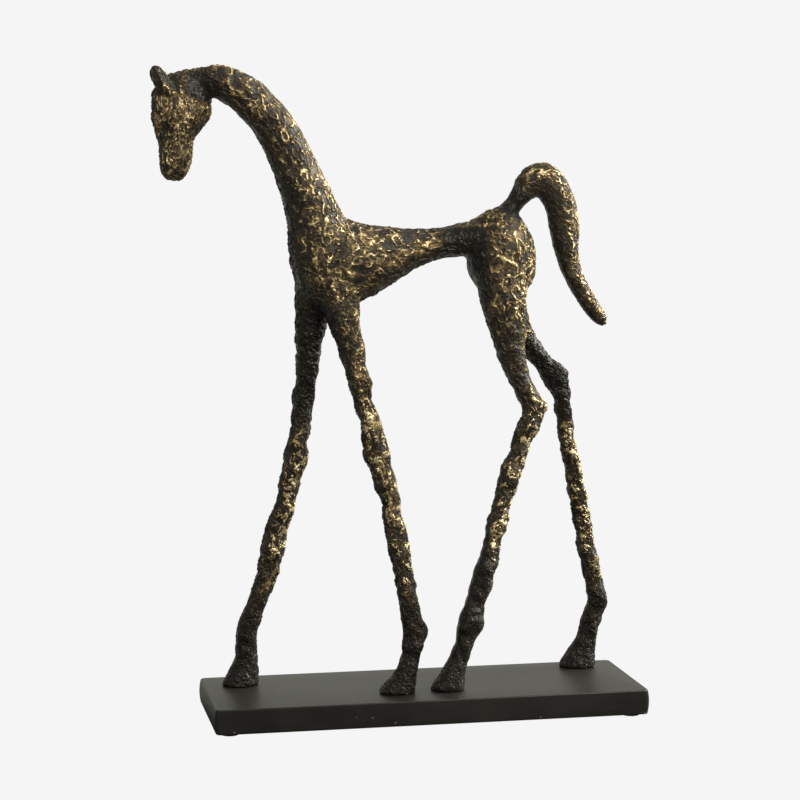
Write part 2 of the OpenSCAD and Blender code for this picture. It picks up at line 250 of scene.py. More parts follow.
def grown(source, tree, values):
    """Plain mesh that the tree makes from the source mesh."""
    holder = placed("holder", source)
    modifier = holder.modifiers.new("shape", "NODES")
    modifier.node_group = tree
    for item in tree.interface.items_tree:
        if item.item_type == "SOCKET" and item.in_out == "INPUT" and item.name in values:
            modifier[item.identifier] = values[item.name]
    return taken_mesh(holder)


def taken_mesh(holder):
    """Evaluated mesh of an object, which is then removed."""
    graph = bpy.context.evaluated_depsgraph_get()
    mesh = bpy.data.meshes.new_from_object(holder.evaluated_get(graph), depsgraph=graph)
    old = holder.data
    bpy.data.objects.remove(holder)
    if old.users == 0:
        bpy.data.meshes.remove(old)
    return mesh


def show(name, mesh, nodes):
    """Puts a finished mesh in the scene as a piece that stands for CAD nodes."""
    piece = placed(name, mesh)
    mesh.name = name
    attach(piece, BODY)
    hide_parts(*nodes)
    return piece


def new_material(name):
    material = bpy.data.materials.new(name)
    material.use_nodes = True
    material.node_tree.nodes.clear()
    return material, Graph(material.node_tree)


def surface(graph, sockets, height, strength, distance):
    """Principled shader with the given sockets, bump from a height, and the output."""
    bump = graph.add("ShaderNodeBump", {
        "Strength": strength, "Distance": distance, "Height": height})
    shader = graph.add("ShaderNodeBsdfPrincipled", {**sockets, "Normal": bump.outputs[0]})
    graph.add("ShaderNodeOutputMaterial", {"Surface": shader.outputs[0]})


def object_place(graph):
    return graph.add("ShaderNodeTexCoord").outputs["Object"]


# ---------------------------------------------------------------- materials

def bronze_material():
    """Brown-black patina with gold on the ridges, from the skin's own attributes; the gold's reach also
    carries painted shade, and pale gold carries painted highlights.
    """
    s = bpy.context.scene.statue_bronze
    skin = bpy.context.scene.statue_skin
    material, g = new_material("bronze_patina")
    place = object_place(g)

    def named(name, output="Fac"):
        return g.add("ShaderNodeAttribute", attribute_name=name).outputs[output]

    rubbed_and_lit, rusty, relief = named("rubbed_and_lit"), named("rusty"), named("relief")
    crest, skirt = bark(g, named("grain_place", "Vector"), named("blotchy"), skin.cell_size,
                        skin.wander, skin.ridge_width)
    crest = g.times(crest, g.step(relief, 0.0, 0.6, 0.3, 1.0))

    fine = g.noise(place, 1300, 3, 0.6)
    chips = g.noise(place, 620, 3, 0.62)
    broad = g.noise(place, 60, 3, 0.55)
    patches = g.noise(place, 150, 3, 0.6)

    def off(value, amount):
        return g.times(g.minus(value, 0.5), amount)

    # patina: near black in the hollows, browner on open ground, rusty low down, and darkened by the
    # painted shade in the gold's reach
    open_ground = g.step(g.plus(skirt, off(chips, 0.7)), -0.05, 0.6, 0.12, 1.0)
    open_ground = g.times(open_ground, g.step(broad, 0.35, 0.65, 0.35, 1.0))
    open_ground = g.times(open_ground, g.step(rubbed_and_lit, 0.0, 0.12, 0.3, 1.0))
    base = g.blend(open_ground, tuple(s.recess), tuple(s.patina))
    # near black where no gold reaches: real on the filed-smooth spots, painted shade under the body and
    # between the legs
    bare_and_shade = g.step(rubbed_and_lit, 0.0, 0.05, 1.0, 0.0)
    base = g.blend(g.times(bare_and_shade, 0.5), base, tuple(0.4 * c for c in s.recess))
    base = g.blend(g.times(rusty, g.step(patches, 0.45, 0.65, 0.0, 0.6)), base, tuple(s.rust))

    # thin gold haze beside the ridges, full gold along their tops
    spread = g.plus(g.plus(off(chips, 0.4), off(patches, 0.8)), off(broad, 1.3))
    away = g.minus(spread, g.mixed(rubbed_and_lit, 1.25, 0.42))
    over = g.plus(crest, away)
    haze = g.step(g.plus(g.times(skirt, 0.9), away), -0.4, 0.4, 0.0, 0.85)
    gold = g.step(over, -0.06, 0.24)
    reached = g.step(rubbed_and_lit, 0.02, 0.3)
    haze, gold = g.times(haze, reached), g.times(gold, reached)
    # paler gold along the highest ridge tops: partly thicker gold, partly a painted highlight
    bright = g.step(g.plus(over, off(fine, 0.5)), 0.12, 0.4)
    colour = g.blend(haze, base, tuple(s.haze))
    colour = g.blend(gold, colour, g.blend(bright, tuple(s.gold), tuple(s.pale_gold_and_highlight)))

    covered = g.most(gold, g.times(haze, 0.7))
    metal = g.mixed(covered, 0.25, 0.9)
    rough = g.minus(g.mixed(fine, 0.28, 0.52), g.times(bare_and_shade, 0.09))
    rough = g.mixed(gold, rough, 0.32)
    height = g.plus(g.times(crest, 0.5), g.times(chips, 0.38))
    height = g.plus(height, g.times(fine, 0.14))
    surface(g, {"Base Color": colour, "Metallic": metal, "Roughness": rough}, height, 1.0, 1.0 * MM)
    return material


def plinth_material():
    """Satin black paint with a faint roll and a few chips."""
    s = bpy.context.scene.statue_plinth
    material, g = new_material("plinth_paint")
    place = object_place(g)
    cloud = g.noise(place, 22, 4, 0.6)
    fine = g.noise(place, 900, 3, 0.6)
    dark = tuple(s.colour)
    dusty = tuple(min(1.0, c * 1.9 + 0.004) for c in dark)
    colour = g.blend(g.times(g.step(cloud, 0.35, 0.7), 0.5), dark, dusty)
    # streaks of the brush along the slab, dust specks and chips
    streaks = g.noise(g.vector("MULTIPLY", place, (0.12, 1.0, 1.0)), 260, 3, 0.6)
    gap, rare = g.dots(place, 100)
    ragged = g.plus(gap, g.times(g.noise(place, 1500, 2, 0.6), 0.03))
    chosen = g.step(rare, 0.6, 0.61)
    speck = g.times(g.step(ragged, 0.10, 0.12, 1.0, 0.0), chosen)
    colour = g.blend(g.step(streaks, 0.45, 0.75, 0.0, 0.35), colour, dusty)
    colour = g.blend(g.times(speck, 0.8), colour, (0.16, 0.155, 0.13))
    rough = g.plus(g.mixed(cloud, 0.30, 0.42), g.times(streaks, 0.08))
    height = g.plus(g.noise(place, 60, 2, 0.5), g.times(fine, 0.12))
    height = g.minus(height, g.times(speck, 0.4))
    surface(g, {"Base Color": colour, "Roughness": rough}, height, 0.25, 0.25 * MM)
    return material


def rubber_material():
    """Matte black pad with a pebbled skin."""
    material, g = new_material("pad_rubber")
    place = object_place(g)
    fine = g.noise(place, 1400, 3, 0.6)
    colour = g.blend(fine, (0.012, 0.012, 0.012), (0.03, 0.03, 0.029))
    surface(g, {"Base Color": colour, "Roughness": g.mixed(fine, 0.7, 0.9)}, fine, 0.4, 0.1 * MM)
    return material


def steel_material(name, bright, dull, rough):
    """Zinc-plated or turned steel with fine turning marks and dull patches."""
    material, g = new_material(name)
    place = object_place(g)
    cloud = g.noise(place, 350, 3, 0.6)
    turning = g.noise(g.vector("MULTIPLY", place, (1.0, 1.0, 30.0)), 300, 2, 0.5)
    colour = g.blend(cloud, bright, dull)
    surface(g, {"Base Color": colour, "Metallic": 1.0,
                "Roughness": g.mixed(cloud, rough, rough + 0.18)}, turning, 0.2, 0.04 * MM)
    return material


# ---------------------------------------------------------------- castings

class Joint:
    """Flat face where two castings meet, and the dowel through it."""

    def __init__(self, name):
        mesh = NODES["dowel_" + name].data
        points = np.array([v.co for v in mesh.vertices])
        middle = (points.min(0) + points.max(0)) / 2
        axis = np.linalg.svd(points - middle, full_matrices=False)[2][0]
        spread = (points - middle) @ axis
        self.centre = Vector(middle)
        self.pin_axis = Vector(axis).normalized()
        away = points - middle - np.outer(spread, axis)
        self.pin_radius = float(np.linalg.norm(away, axis=1).max())
        self.pin_half = float(np.abs(spread).max())
        # legs are cut level and the loin upright, the others square to their dowel
        self.along = Vector((0, 0, 1)) if name in LEGS else (
            Vector((1, 0, 0)) if name == "loin" else self.pin_axis)
        self.reach = {"poll": 40, "neck_base": 34, "loin": 24, "tail": 13}.get(name, 16) * MM

    def off(self, place):
        """Signed distance of a place from the flat face."""
        return (place - self.centre).dot(self.along)


def foot_of(node):
    """Middle of the underside of a CAD node's box."""
    low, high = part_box(node)
    return (low.x + high.x) / 2, (low.y + high.y) / 2, low.z


def hoof_centres():
    """Where each hoof screw enters its hoof, at the plinth top."""
    return [Vector((*foot_of("screw_" + name)[:2], PLINTH_TOP)) for name in LEGS]


SCREW_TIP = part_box("screw_foreleg_left")[1].z
SCREW_RADIUS = 2.5 * MM
BORE_GAP = 0.05 * MM
BORE_END_GAP = 0.5 * MM
BORE_CORNERS = 40
SHANK_GAP = 0.25 * MM
HEAD_GAP = 0.75 * MM
ROUND = 64
# islands of the cut skin with fewer points than this are crumbs of the cutting
FEWEST_POINTS = 4000


def open_casting(node, joints, hooves):
    """Welded copy of a casting without its joint faces and bores."""
    bm = bmesh.new()
    bm.from_mesh(NODES[node].data)
    bmesh.ops.remove_doubles(bm, verts=bm.verts, dist=2e-6)
    bm.normal_update()
    bores = [(j.centre, j.pin_axis, j.pin_radius + 0.3 * MM, j.pin_half + 2 * MM) for j in joints]
    screw_reach = SCREW_TIP - PLINTH_TOP + 2 * MM
    bores += [(c, Vector((0, 0, 1)), SCREW_RADIUS + 0.6 * MM, screw_reach) for c in hooves]
    for centre, along, radius, reach in bores:
        wall = [f for f in bm.faces if all(
            abs((v.co - centre).dot(along)) < reach
            and ((v.co - centre) - along * (v.co - centre).dot(along)).length < radius
            for v in f.verts)]
        bmesh.ops.delete(bm, geom=wall, context="FACES")
    loose = [e for e in bm.edges if not e.link_faces]
    bmesh.ops.delete(bm, geom=loose, context="EDGES")
    bmesh.ops.holes_fill(bm, edges=[e for e in bm.edges if e.is_boundary])
    bm.normal_update()
    flat = [f for f in bm.faces if any(
        abs(f.normal.dot(j.along)) > 0.999
        and all(abs(j.off(v.co)) < 2e-5 and (v.co - j.centre).length < j.reach for v in f.verts)
        for j in joints)]
    bmesh.ops.delete(bm, geom=flat, context="FACES")
    return bm


def joined_skin(joints):
    """One closed mesh round all the castings, with an even grid of faces."""
    hooves = hoof_centres()
    whole = bmesh.new()
    for node in CASTINGS:
        part = open_casting(node, joints, hooves)
        mesh = bpy.data.meshes.new(node + "_open")
        part.to_mesh(mesh)
        part.free()
        whole.from_mesh(mesh)
        bpy.data.meshes.remove(mesh)
    bmesh.ops.remove_doubles(whole, verts=whole.verts, dist=1e-5)
    mesh = bpy.data.meshes.new("joined")
    whole.to_mesh(mesh)
    whole.free()
    s = bpy.context.scene.statue_skin
    holder = placed("holder", mesh)
    remesh = holder.modifiers.new("even", "REMESH")
    remesh.mode = "VOXEL"
    remesh.voxel_size = s.grid
    return taken_mesh(holder)


def read(items, field, width=1, kind=np.float32):
    """A field of all the items, as one row each where it has several numbers."""
    values = np.empty(len(items) * width, kind)
    items.foreach_get(field, values)
    return values.reshape(-1, width) if width > 1 else values


def store(mesh, name, values):
    """New attribute on the points of a mesh, of one number or three."""
    kind, field = ("FLOAT_VECTOR", "vector") if values.ndim == 2 else ("FLOAT", "value")
    layer = mesh.attributes.new(name, kind, "POINT")
    layer.data.foreach_set(field, values.astype(np.float32).ravel())


def points_of(mesh):
    return read(mesh.vertices, "co", 3).astype(float)


def normals_of(mesh):
    return read(mesh.vertex_normals, "vector", 3).astype(float)


def corners_of(mesh):
    """Number of corners of each face, and the vertex at each corner."""
    return (read(mesh.polygons, "loop_total", kind=np.int32),
            read(mesh.loops, "vertex_index", kind=np.int32))


def nearest_castings(points):
    """Index in CASTINGS of the casting closest to each point."""
    corners, faces, owner = [], [], []
    for index, node in enumerate(CASTINGS):
        mesh = NODES[node].data
        start = len(corners)
        corners.extend(v.co.copy() for v in mesh.vertices)
        for polygon in mesh.polygons:
            faces.append([start + i for i in polygon.vertices])
            owner.append(index)
    tree = BVHTree.FromPolygons(corners, faces)
    return np.array([owner[tree.find_nearest(p)[2]] for p in points.tolist()])


def belongs(casting, *nodes):
    """Which points are nearest to one of the named castings."""
    return np.isin(casting, [CASTINGS.index(node) for node in nodes])


def ease(value, low, high):
    t = np.clip((value - low) / (high - low), 0, 1)
    return t * t * (3 - 2 * t)


def profile(value, stops):
    """Value along a list of (place, amount) stops."""
    return np.interp(value, [s[0] for s in stops], [s[1] for s in stops])


# Middle lines of the castings that the grain follows, from the joint outwards, in
# millimetres from the middle of the plinth's top: x, y, z.
GRAIN_PATHS = {
    "neck": [(-88.5, 2, 373), (-96.5, 2, 392.5), (-104.5, 2, 409.5), (-112, 2, 422),
             (-122.5, 2, 434), (-132, 2, 442.5), (-141.5, 2, 448), (-150, 2, 451.6),
             (-160, 2, 451.6)],
    "head": [(-168, 2, 452), (-176, 2, 440), (-178, 2, 425), (-182, 2, 410), (-183, 2, 396),
             (-183.5, 2, 381)],
    "tail": [(71, 2.5, 363), (77.5, 2.5, 372), (84.5, 2.5, 378.5), (92.5, 2.5, 380.2),
             (99.2, 2.5, 375.5), (104.6, 2.5, 366), (108.2, 2.5, 355), (110, 2.5, 342),
             (112.9, 2.5, 321), (117, 2.5, 308.8), (122.5, 2.5, 298.2), (129.2, 2.5, 287.8),
             (142.4, 2.5, 270.8)],
    "foreleg_left": [(-57, -9, 262), (-50.5, -11, 233), (-43, -12.5, 204), (-36.5, -14, 174),
                     (-27.5, -16, 144), (-22.5, -17.5, 114), (-17.5, -19.5, 84), (-13.5, -21, 60),
                     (-10, -21.5, 45), (-12.5, -22.5, 30), (-23.6, -23, 0)],
    "foreleg_right": [(-84, 10, 261), (-86.5, 12, 232), (-89.5, 13.5, 202), (-94, 15.5, 172),
                      (-100.5, 17.5, 141), (-109.5, 19.5, 111), (-116.5, 21.5, 80),
                      (-128, 23.5, 48), (-130.4, 24.5, 30), (-135, 25, 0)],
    "hindleg_left": [(64.2, -9, 261), (67.2, -9.5, 246), (77.5, -10.5, 222), (83.3, -11, 213),
                     (77.5, -12, 193), (65.5, -13.5, 164), (56.5, -15, 134), (48.5, -16.5, 104),
                     (40, -18, 74), (33, -19.5, 50), (26, -20.5, 28), (15.2, -21, 0)],
    "hindleg_right": [(81.5, 14, 261), (91.5, 16, 248), (106, 17.5, 234), (114.4, 20, 209),
                      (120, 23, 175), (127.5, 26.5, 141), (135, 29.5, 109), (142, 32.5, 77),
                      (148.3, 34.5, 54), (141, 36, 29), (131.5, 36, 0)],
}
# How many times longer than wide the marks are, and how much finer than on the
# body, once clear of the joint.
GRAIN_LOOKS = {"neck": (1.7, 1.25), "head": (1.5, 1.9), "tail": (1.25, 1.3),
               **{leg: (1.2, 1.25) for leg in LEGS}}

# How much gold each casting took, with painted shade on the far foreleg: stops
# along its box, from the low end (0) to the high end (1) of the named axis.
GOLD_AND_SHADE_STOPS = {
    "head": ("z", [(0, 0.9), (0.55, 1.0), (0.8, 0.9), (0.9, 0.5), (1, 0.6)]),
    "neck": ("z", [(0, 0.85), (0.3, 0.75), (0.8, 0.8), (1, 0.9)]),
    "trunk": ("z", [(0, 1.0), (0.2, 1.0), (0.5, 1.0), (1, 0.85)]),
    "hindquarters": ("z", [(0, 0.5), (0.15, 0.7), (0.35, 1), (0.9, 0.95), (1, 0.3)]),
    "tail": ("x", [(0, 0.0), (0.08, 0.3), (0.2, 0.9), (1, 0.9)]),
    "foreleg_left": ("z", [(0, 0), (0.24, 0.0), (0.33, 0.7), (0.42, 1), (0.9, 0.95), (1, 0.95)]),
    # far foreleg: the low values at its top are painted shade under the chest
    "foreleg_right": ("z", [(0, 0), (0.22, 0.0), (0.31, 0.5), (0.5, 0.9), (0.68, 0.6), (0.8, 0.15),
                            (1, 0.1)]),
    "hindleg_left": ("z", [(0, 0), (0.2, 0.0), (0.29, 0.75), (0.6, 0.9), (0.85, 0.65), (1, 0.5)]),
    "hindleg_right": ("z", [(0, 0), (0.22, 0.0), (0.3, 0.7), (0.5, 1), (0.85, 0.8), (1, 0.5)]),
}


def fine_path(points):
    """Smooth curve through the points: places, directions and distances along it."""
    knots = np.array(points, float) * MM + ORIGIN
    padded = np.vstack([2 * knots[0] - knots[1], knots, 2 * knots[-1] - knots[-2]])
    places = []
    for i in range(1, len(padded) - 2):
        a, b, c, d = padded[i - 1:i + 3]
        for t in np.arange(0, 1, 0.125):
            places.append(0.5 * (2 * b + (c - a) * t + (2 * a - 5 * b + 4 * c - d) * t * t
                                 + (3 * b - a - 3 * c + d) * t ** 3))
    places = np.array(places + [knots[-1]])
    direction = np.gradient(places, axis=0)
    direction /= np.linalg.norm(direction, axis=1)[:, None]
    far = np.r_[0, np.cumsum(np.linalg.norm(np.diff(places, axis=0), axis=1))]
    return places, direction, far


def along_path(points, path):
    """Distance of each point along the path, and its offset in the path's own directions."""
    places, direction, far = fine_path(path)
    nearest = np.zeros(len(points), int)
    best = np.full(len(points), 9.0)
    for i, place in enumerate(places):
        gap = ((points - place) ** 2).sum(1)
        closer = gap < best
        nearest[closer], best[closer] = i, gap[closer]
    gap = points - places[nearest]
    bend = np.gradient(direction, far, axis=0)[nearest]
    slower = np.maximum(1 - (bend * gap).sum(1), 0.4)
    along = far[nearest] + (gap * direction[nearest]).sum(1) / slower

    def at(values):
        return np.stack([np.interp(along, far, values[:, a]) for a in range(3)], 1)

    ahead = at(direction)
    ahead /= np.linalg.norm(ahead, axis=1)[:, None]
    beyond = np.minimum(along, 0) + np.maximum(along - far[-1], 0)
    offset = points - at(places) - beyond[:, None] * ahead
    over, across = path_sides(ahead)
    return along, (offset * over).sum(1), (offset * across).sum(1)


def path_sides(ahead):
    """Directions square to the path: in the horse's upright plane, and across it."""
    over = np.cross(ahead, (0.0, 1.0, 0.0))
    over /= np.linalg.norm(over, axis=-1)[..., None]
    return over, np.cross(over, ahead)


def grain_places(points, casting):
    """Where the ridge pattern is read, so that marks run along limbs; and the tail's own places."""
    grain = points.copy()
    shoulder = ORIGIN[0] - 50 * MM
    trunk = belongs(casting, "trunk")
    grain[trunk, 0] = np.minimum(points[trunk, 0], shoulder + (points[trunk, 0] - shoulder) / 1.5)
    rear = belongs(casting, "hindquarters")
    thigh = ORIGIN[2] + LEG_TOP
    grain[rear, 2] = thigh + (points[rear, 2] - thigh) / 1.2
    tail = None
    for node, path in GRAIN_PATHS.items():
        here = belongs(casting, node)
        along, over, across = along_path(points[here], path)
        longer, finer = GRAIN_LOOKS[node]
        reach = np.linspace(0, along.max() + MM, 200)
        fineness = 1 + (finer - 1) * ease(reach, 0, 30 * MM)
        length = 1 + (longer - 1) * ease(reach, 0, 30 * MM)
        pulled = np.r_[0, np.cumsum((fineness / length)[1:] * np.diff(reach))]
        places, direction, _ = fine_path(path)
        over_0, across_0 = path_sides(direction[0])
        size = np.interp(along, reach, fineness)
        run = np.interp(along, reach, pulled) + np.minimum(along, 0)
        grain[here] = (places[0] + np.outer(over * size, over_0) + np.outer(across * size, across_0)
                       + np.outer(run, direction[0]))
        if node == "tail":
            tail = here, over, across
    return grain, tail


# Hollows pressed into both sides of the head: x, half spread, z in millimetres from the
# middle of the plinth's top, then radius and depth.
HEAD_HOLLOWS = [(-191.5, 11.5, 417, 5.0, 3.0), (-188.5, 12, 411, 3.2, 1.6),
                (-191, 7, 388.5, 3.0, 1.8), (-178, 10, 390, 3.2, 1.6), (-183, 9, 384.5, 3.0, 1.0),
                (-170, 13, 437, 4.0, 0.9)]
# Swellings on both sides of the head: brow, cheek and lip.
HEAD_SWELLINGS = [(-189, 12.5, 424, 4.5, 1.1), (-172, 13.5, 427, 8.0, 1.0),
                  (-188, 9, 393.5, 3.5, 0.7), (-181, 10, 399, 5.0, 0.6), (-191, 6, 384, 4.5, 1.2),
                  (-179, 6, 382, 4.5, 1.2)]


def head_marks(marks):
    """Middle, radius and depth of each mark, on both sides of the head."""
    for x, spread, z, radius, depth in marks:
        for side in (-1, 1):
            yield ORIGIN + np.array([x, 2 + side * spread, z]) * MM, radius * MM, depth * MM


def model_head(mesh):
    """Presses eye, nostril and mouth hollows into the head and raises brow and cheek."""
    points, normals = points_of(mesh), normals_of(mesh)
    push = np.zeros(len(points))
    for marks, way in ((HEAD_HOLLOWS, -1), (HEAD_SWELLINGS, 1)):
        for middle, radius, depth in head_marks(marks):
            gap = points - middle
            push += way * depth * np.exp(-((gap ** 2).sum(1) / radius ** 2) * 1.2)
    moved = points + normals * push[:, None]
    mesh.vertices.foreach_set("co", moved.astype(np.float32).ravel())
    mesh.update()


def smooth_spots(points):
    """1 where the castings were filed smooth round the poll, the loin and the tail root."""
    poll, root = ORIGIN + np.array([-164, 2, 447]) * MM, ORIGIN + np.array([69, 2.5, 361]) * MM
    near_poll = 1 - ease(np.linalg.norm((points - poll) * (1.0, 0.6, 1.3), axis=1), 9 * MM, 19 * MM)
    near_root = 1 - ease(np.linalg.norm(points - root, axis=1), 10 * MM, 17 * MM)
    x, z = points[:, 0] - ORIGIN[0], points[:, 2] - ORIGIN[2]
    loin = ease(x, 8 * MM, 20 * MM) * (1 - ease(x, 40 * MM, 52 * MM))
    loin *= 1 - ease(z, 340 * MM, 350 * MM)
    return np.maximum.reduce([near_poll, near_root, loin])


def region_fields(mesh):
    """Stores on the even mesh how far gold, relief and rust reach at each point; the gold's reach also
    carries painted light and shade.
    """
    points, normals = points_of(mesh), normals_of(mesh)
    casting = nearest_castings(points)
    grain, tail = grain_places(points, casting)
    nx, ny, nz = normals.T
    rubbed_and_lit = np.zeros(len(points))
    for index, node in enumerate(CASTINGS):
        axis, stops = GOLD_AND_SHADE_STOPS[node]
        low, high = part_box(node)
        a = "xyz".index(axis)
        here = casting == index
        place = (points[here, a] - low[a]) / (high[a] - low[a])
        rubbed_and_lit[here] = profile(place, stops)
    # painted light: faces turned to +X and upwards, towards the key light, get more gold and lighter
    # patina; the flanks get more gold from rubbing
    reach_and_light = 0.5 * nx + 0.85 * np.abs(ny) + 0.25 * np.maximum(nz, 0)
    head = belongs(casting, "head")
    reach_and_light[head] += 0.5
    reach_and_light[belongs(casting, "hindquarters")] += 0.25
    rubbed_and_lit *= profile(reach_and_light, [(-0.1, 0.0), (0.35, 0.5), (0.65, 1)])
    # painted shade: faces turned downwards, most of all under the belly, get less gold and darker
    # patina
    rubbed_and_lit *= profile(nz, [(-1, 0.1), (-0.6, 0.45), (-0.25, 1), (1, 1)])
    trunk = belongs(casting, "trunk")
    rubbed_and_lit[trunk] *= profile(nz[trunk], [(-1, 0.2), (-0.5, 0.3), (-0.05, 1)])
    rubbed_and_lit[trunk] *= 1 - 0.16 * ease(points[trunk, 0] - ORIGIN[0], -45 * MM, -20 * MM)
    # painted shade under the chest, on the inner side of the right foreleg's root: less gold and darker
    # patina
    x, _, z = (points - ORIGIN).T
    root = (1 - ease(x, -70 * MM, -62 * MM)) * (1 - ease(z, 282 * MM, 302 * MM))
    rubbed_and_lit[trunk] *= 1 - (root * ease(-ny, -0.25, 0.15))[trunk]
    # painted shade between the legs: their upper inner sides get less gold and darker patina
    height = (points[:, 2] - ORIGIN[2]) / LEG_TOP
    for side, names in ((1, ("foreleg_left", "hindleg_left")),
                        (-1, ("foreleg_right", "hindleg_right"))):
        here = belongs(casting, *names)
        inner = ease(ny[here] * side, -0.25, 0.15)
        rubbed_and_lit[here] *= 1 - inner * ease(height[here], 0.68, 0.82)
    # tail: the outer half is worked and rubbed, the inner half is plain
    here, over, across = tail
    worked = ease(over / np.maximum(np.hypot(over, across), MM), -0.25, 0.25)
    rubbed_and_lit[here] *= 0.12 + 0.88 * worked
    smooth = smooth_spots(points)
    relief = 1 - 0.6 * smooth
    relief[belongs(casting, "neck")] *= 0.8
    relief[here] *= 0.35 + 0.65 * worked
    rubbed_and_lit *= 1 - ease(smooth, 0, 0.6)
    # eye and mouth hollows stay dark
    for middle, radius, _ in head_marks(HEAD_HOLLOWS[:3]):
        rubbed_and_lit *= ease(np.linalg.norm(points - middle, axis=1), 0.5 * radius, 1.3 * radius)
    hoof = ease(height, 0.05, 0.12)
    low_leg = ease(height, 0.2, 0.34)
    relief *= 0.5 + 0.3 * low_leg + 0.2 * ease(height, 0.85, 1.05)
    rusty = (1 - low_leg) * (0.25 + 0.75 * ease(height, 0.1, 0.17))
    lumpy = 0.5 + 0.9 * (1 - ease(height, 0.85, 1.05)) * hoof
    blotchy = 1 - ease(height, 0.75, 1.05)
    for name, values in (("rubbed_and_lit", rubbed_and_lit), ("rusty", rusty), ("relief", relief),
                         ("lumpy", lumpy), ("blotchy", blotchy), ("grain_place", grain)):
        store(mesh, name, values)


def bark(g, place, blotchy, cell, wander, width):
    """Finger-pushed ridges: height, 0 to 1, and how near a point is to a ridge."""
    def per(share):
        return g.math("DIVIDE", 1.0 / share, cell)

    def worm(at, share, half):
        gap = g.math("ABSOLUTE", g.minus(g.noise(at, per(share), 0), 0.5))
        gap = g.math("DIVIDE", gap, half)
        return g.step(gap, 0.0, 1.0, 1.0, 0.0), g.step(gap, 0.0, 2.8, 1.0, 0.0)

    stray = g.vector("SUBTRACT", g.noise(place, per(0.8), 2, 0.5, colour=True), (0.5, 0.5, 0.5))
    warped = g.vector("ADD", place, g.scaled(stray, g.times(wander, 2.0)))
    zone = g.step(g.noise(place, per(2.3), 2, 0.5), 0.43, 0.56)
    breaks = g.step(g.noise(place, per(0.95), 1, 0.5), 0.36, 0.5, 0.3, 1.0)
    thick = g.times(width, g.mixed(g.noise(place, per(0.6), 1, 0.5), 0.3, 1.9))
    large, large_skirt = worm(warped, 1.2, thick)
    shifted = g.vector("ADD", warped, (0.31, 0.17, 0.23))
    small, small_skirt = worm(shifted, 0.72, g.times(thick, 1.1))
    large_part = g.times(g.mixed(zone, 0.15, 1.0), breaks)
    small_part = g.times(g.mixed(zone, 0.85, 0.35), breaks)
    beads = g.step(g.noise(warped, per(0.45), 0), 0.64, 0.78, 0.0, 0.85)
    ridges = g.most(g.most(g.times(large, large_part), g.times(small, small_part)), beads)
    skirt = g.most(g.times(large_skirt, large_part), g.times(small_skirt, small_part))
    blotch = g.step(g.noise(warped, per(1.05), 2, 0.6), 0.45, 0.56)
    pits = g.step(g.noise(warped, per(0.36), 1, 0.5), 0.38, 0.50)
    blotch = g.times(blotch, g.mixed(pits, 0.2, 1.0))
    both = g.mixed(blotchy, ridges, g.most(blotch, g.times(ridges, 0.5)))
    skirt = g.most(both, g.mixed(blotchy, skirt, g.times(skirt, 0.5)))
    chips = g.noise(warped, per(0.28), 2, 0.6)
    return g.plus(both, g.times(g.minus(chips, 0.5), 0.6), clamp=True), skirt


def make_skin_mesh(material, joints):
    s = bpy.context.scene.statue_skin
    even = joined_skin(joints)
    even = softened(even, s.blend_passes)
    model_head(even)
    region_fields(even)
    sizes = {name.replace("_", " ").capitalize(): getattr(s, name) for name in (
        "lump_size", "lump_height", "cell_size", "ridge_height", "ridge_width", "wander",
        "grain_height")}
    sizes["Floor"] = PLINTH_TOP
    tree, g, entry = shape_tree(
        "hand_modelled_relief", [(label, "NodeSocketFloat") for label in sizes])
    size = entry.outputs
    finer = g.add("GeometryNodeSubdivisionSurface", {"Mesh": size["Geometry"], "Level": 1})
    place = g.add("GeometryNodeInputPosition").outputs[0]
    normal = g.add("GeometryNodeInputNormal").outputs[0]

    def named(name, kind="FLOAT"):
        return g.add("GeometryNodeInputNamedAttribute", {"Name": name}, data_type=kind).outputs[0]

    relief = named("relief")
    crest, _ = bark(g, named("grain_place", "FLOAT_VECTOR"), named("blotchy"), size["Cell size"],
                    size["Wander"], size["Ridge width"])
    lumps = g.minus(g.noise(place, g.math("DIVIDE", 1.0, size["Lump size"]), 1, 0.5), 0.5)
    grain = g.minus(g.noise(place, 900, 3, 0.6), 0.5)
    height = g.times(g.times(lumps, size["Lump height"]), named("lumpy"))
    ridge = g.times(g.minus(crest, 0.35), size["Ridge height"])
    height = g.plus(height, g.times(ridge, relief))
    height = g.plus(height, g.times(grain, size["Grain height"]))
    moved = g.vector("ADD", place, g.scaled(normal, height))
    parts = g.add("ShaderNodeSeparateXYZ", {0: moved})
    kept = g.add("ShaderNodeCombineXYZ", {
        "X": parts.outputs[0], "Y": parts.outputs[1],
        "Z": g.most(parts.outputs[2], size["Floor"])})
    pushed = g.add("GeometryNodeSetPosition", {
        "Geometry": finer.outputs[0], "Position": kept.outputs[0]})
    finish_tree(g, pushed.outputs[0], material)
    return grown(even, tree, sizes)


def softened(mesh, passes):
    """Even mesh with its creases eased, so that limbs run into the body."""
    holder = placed("holder", mesh)
    ease_out = holder.modifiers.new("ease", "SMOOTH")
    ease_out.factor = 0.5
    ease_out.iterations = passes
    return taken_mesh(holder)


def closed_runs(edges):
    """Vertices and edges of each closed run of edges, in order, the longest run first."""
    near = {}
    for edge in edges:
        for vert in edge.verts:
            near.setdefault(vert, []).append(edge)
    used, runs = set(), []
    for first in edges:
        if first in used:
            continue
        used.add(first)
        start, here = first.verts
        run, sides = [start], [first]
        while here != start:
            if here in run:
                # the run touches itself: what lies between is a run of its own
                cut = run.index(here)
                runs.append((run[cut:], sides[cut:]))
                run, sides = run[:cut], sides[:cut]
            run.append(here)
            ahead = [e for e in near[here] if e not in used]
            if not ahead:
                raise ValueError("open run of edges at a cut")
            used.add(ahead[0])
            sides.append(ahead[0])
            here = ahead[0].other_vert(here)
        runs.append((run, sides))
    return sorted(runs, key=lambda r: len(r[0]), reverse=True)


